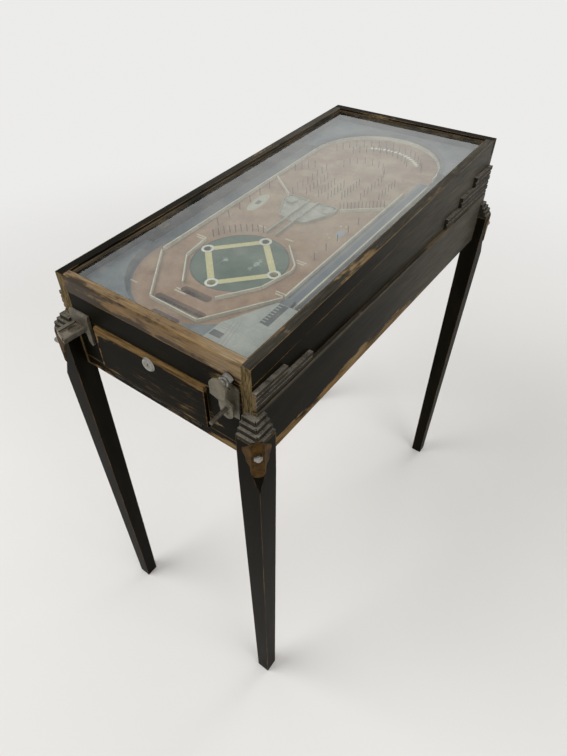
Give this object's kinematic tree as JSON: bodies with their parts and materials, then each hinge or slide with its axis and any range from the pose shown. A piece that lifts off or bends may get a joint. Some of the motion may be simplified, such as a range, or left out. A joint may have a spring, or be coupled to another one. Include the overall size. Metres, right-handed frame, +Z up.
{
  "type": "flipperless pinball machine",
  "caption": "Four-legged coin-operated pin game: sloping glazed cabinet, playfield with turning disc and pins, pull shooter, coin slide, drop-down cash door.",
  "frame": {"origin": "on the floor, at the middle of the whole object's box", "axes": "+X to the right seen from the player's end, +Y away from the player towards the high end, +Z up"},
  "size_m": [0.4898, 0.9814, 1.091],
  "materials": {
    "black_wood": "worn black paint on wood",
    "worn_wood": "brown wood with most of its paint worn off",
    "bare_wood": "unpainted",
    "grey_trim": "dull grey",
    "copper_sheet": "browned copper colour",
    "plated_steel": "aged plating",
    "dark_steel": "dull",
    "cast_metal": "dull grey-green casting",
    "pressed_metal": "satin",
    "field_paint": "aged matt paint",
    "filler_paint": "blue-grey matt paint",
    "rail_paint": "cream paint",
    "disc_paint": "green paint",
    "plate_paint": "pale grey paint",
    "glass": "clear, slightly dusty",
    "bead_wood": "pale worn wood"
  },
  "bodies": {
    "cabinet": {"side_board_left": "black_wood", "side_board_right": "black_wood", "skirt_left": "black_wood", "skirt_right": "black_wood", "side_bars_left": "grey_trim", "side_bars_right": "grey_trim", "front_top_rail": "black_wood", "front_bottom_rail": "black_wood", "front_panel_left": "black_wood", "front_panel_right": "black_wood", "back_board": "black_wood", "bottom_board": "bare_wood", "corner_blocks": "bare_wood", "leg_front_left": "black_wood", "leg_front_right": "black_wood", "leg_back_left": "black_wood", "leg_back_right": "black_wood", "leg_caps": "grey_trim", "leg_brackets": "copper_sheet", "leg_bolts": "plated_steel", "leg_nuts": "plated_steel", "field_board": "field_paint", "field_cleats": "bare_wood", "corner_fillers": "filler_paint", "arch_rail": "rail_paint", "lane_rail": "rail_paint", "fence_rails": "rail_paint", "field_pins": "dark_steel", "metal_wings": "pressed_metal", "score_plate": "plate_paint", "disc_bearing": "bare_wood", "ball_trough": "bare_wood", "balls": "plated_steel", "shooter_plate": "cast_metal", "guide_rod": "dark_steel", "shooter_spring": "dark_steel", "chute_plate": "cast_metal", "chute_housing": "cast_metal", "cash_box": "bare_wood", "door_hinge_leaf": "dark_steel", "lid_hinge_leaves": "dark_steel"},
    "disc": {"runner_disc": "disc_paint", "base_cups": "rail_paint", "disc_spindle": "dark_steel"},
    "lid": {"lid_rail_front": "worn_wood", "lid_rail_back": "black_wood", "lid_rail_sides": "black_wood", "glass_pane": "glass", "glass_bead": "bead_wood", "lid_hinge_arms": "dark_steel"},
    "door": {"cash_door": "black_wood", "door_hinge_arm": "dark_steel", "lock_body": "plated_steel"},
    "lock": {"lock_cylinder": "dark_steel", "lock_cam": "dark_steel"},
    "coin_slide": {"coin_slide": "cast_metal"},
    "shooter": {"shooter_rod": "dark_steel", "shooter_handle": "cast_metal", "shooter_sleeve": "plated_steel", "bumper_spring": "plated_steel"}
  },
  "joints": [
    {"name": "disc_turn", "type": "hinge", "parent": "cabinet", "child": "disc", "pos_m": [-0.008, -0.1973, 1.0049], "axis": [0, -0.0698, 0.9976], "continuous": true},
    {"name": "lid_lift", "type": "hinge", "parent": "cabinet", "child": "lid", "pos_m": [0, 0.46469, 1.05865], "axis": [-1, 0, 0], "range_deg": [0, 80]},
    {"name": "door_drop", "type": "hinge", "parent": "cabinet", "child": "door", "pos_m": [0, -0.44151, 0.8532], "axis": [1, 0, 0], "range_deg": [0, 90]},
    {"name": "lock_turn", "type": "hinge", "parent": "door", "child": "lock", "pos_m": [-0.002, -0.43871, 0.932], "axis": [0, -1, 0], "range_deg": [0, 90]},
    {"name": "coin_push", "type": "slide", "parent": "cabinet", "child": "coin_slide", "axis": [0, 1, 0], "range_m": [0, 0.038]},
    {"name": "shooter_pull", "type": "slide", "parent": "cabinet", "child": "shooter", "axis": [0, -0.9976, -0.0698], "range_m": [0, 0.028], "stiffness_N_per_m": 150, "deforming": ["shooter_spring"]}
  ]
}
